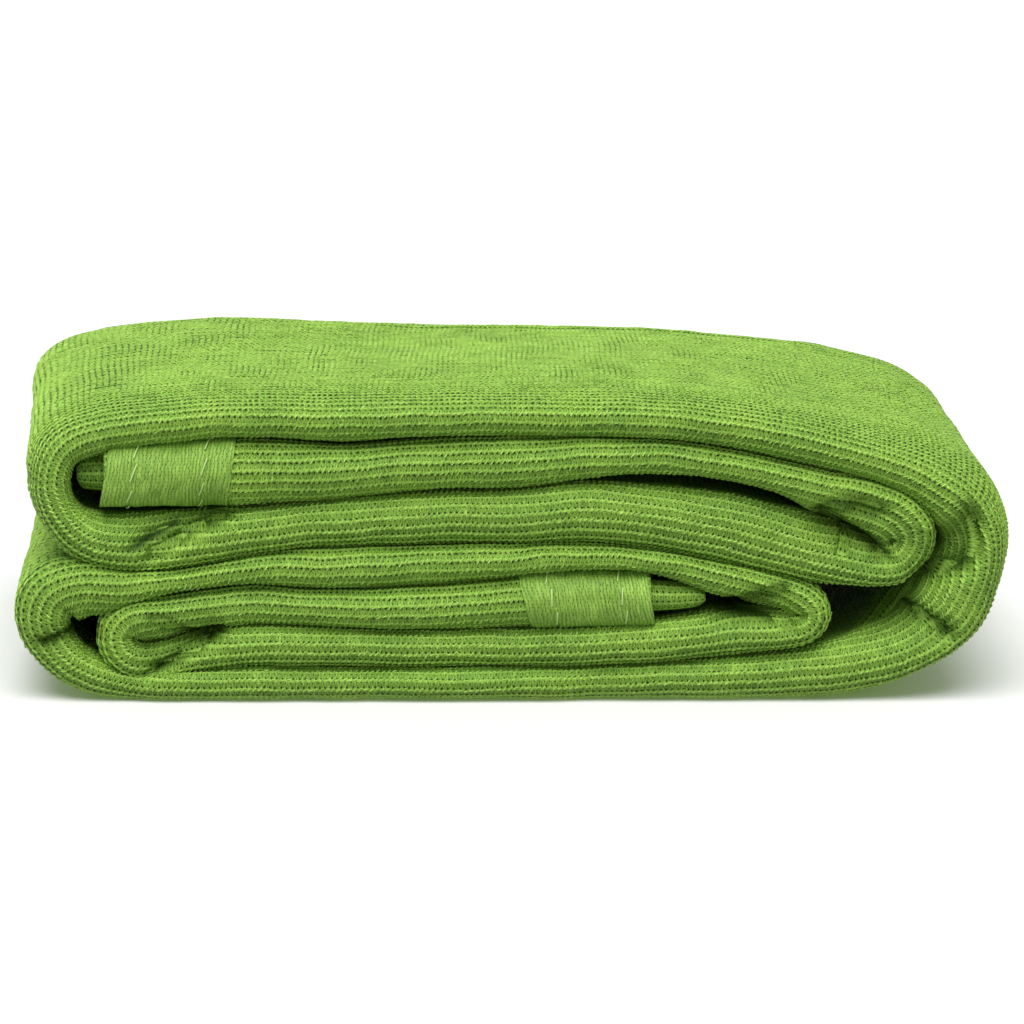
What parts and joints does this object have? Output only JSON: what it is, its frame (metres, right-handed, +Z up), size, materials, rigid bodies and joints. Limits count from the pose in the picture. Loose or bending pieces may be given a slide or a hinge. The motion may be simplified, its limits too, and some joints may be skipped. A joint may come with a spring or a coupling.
{
  "type": "folded net cloth",
  "caption": "Folded bundle of a long knitted plastic net cloth, laid back and forth, with a sewn band at each end of the cloth.",
  "frame": {"origin": "on the surface the bundle lies on, under the middle of its box", "axes": "+X along the passes of the folded strip, +Y from the smooth front folds to the back, +Z up"},
  "size_m": [0.406, 0.2515, 0.1268],
  "materials": {
    "knitted_net": "knitted from fine plastic tape, matte with a slight sheen",
    "end_band": "densely knitted plastic tape, ribs across the strip",
    "stitching": "light sewing thread"
  },
  "bodies": {
    "root": {"net_panel": "knitted_net", "end_band_a": "end_band", "end_band_b": "end_band", "seam_a_outer": "stitching", "seam_a_inner": "stitching", "seam_b_outer": "stitching", "seam_b_inner": "stitching"}
  },
  "joints": []
}
